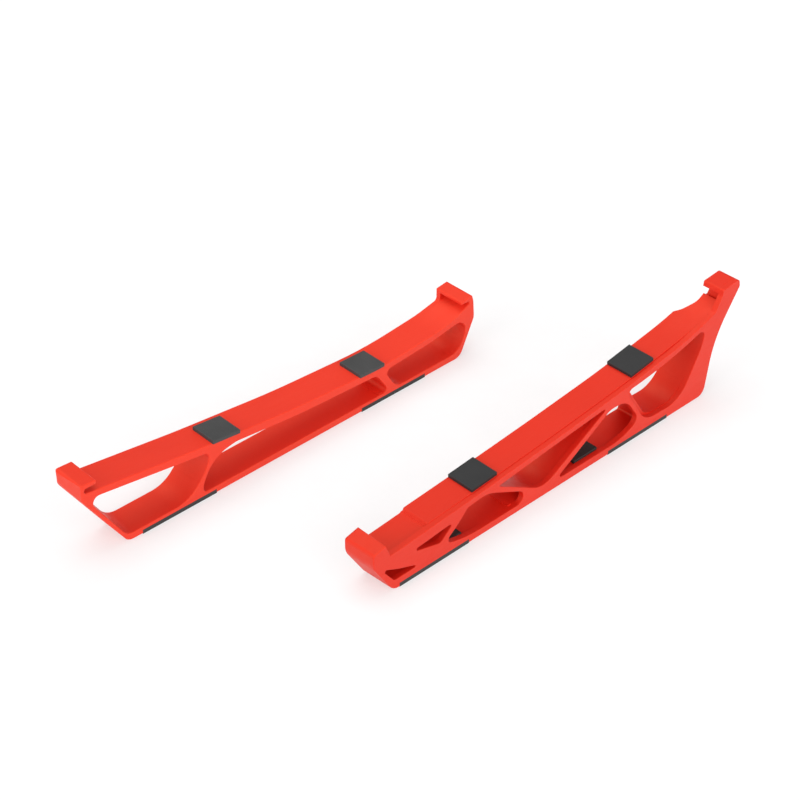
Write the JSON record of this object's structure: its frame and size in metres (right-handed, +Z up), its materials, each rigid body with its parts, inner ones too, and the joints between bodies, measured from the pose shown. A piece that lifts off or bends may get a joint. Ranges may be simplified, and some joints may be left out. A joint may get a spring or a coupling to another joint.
{
  "type": "hooked support rail pair",
  "caption": "Low trussed plastic support rails with an upturned hook at each end, rubber grip pads on top and rubber foot strips, laid side by side to hold something above a table",
  "frame": {"origin": "bottom centre of the pair's bounding box, on the plane the foot strips stand on", "axes": "+X along the rails from their low front hooks to their back hooks, +Y across them from the right rail to the left rail, +Z up"},
  "size_m": [0.4446, 0.1734, 0.0837],
  "materials": {
    "rail_plastic": "moulded, fine satin",
    "pad_rubber": "matte",
    "strip_rubber": "matte"
  },
  "bodies": {
    "left_rail": {"left_foot_strip_back": "strip_rubber", "left_foot_strip_front": "strip_rubber", "left_grip_pad_back": "pad_rubber", "left_grip_pad_front": "pad_rubber", "left_rail_body": "rail_plastic"},
    "right_rail": {"right_floor_pad_back": "pad_rubber", "right_floor_pad_front": "pad_rubber", "right_foot_strip_back": "strip_rubber", "right_foot_strip_front": "strip_rubber", "right_grip_pad_back": "pad_rubber", "right_grip_pad_front": "pad_rubber", "right_rail_body": "rail_plastic"}
  },
  "joints": [
    {"name": "right_rail_placing", "type": "slide", "parent": "left_rail", "child": "right_rail", "axis": [0, 1, 0], "range_m": [-0.1, 0.1]}
  ]
}
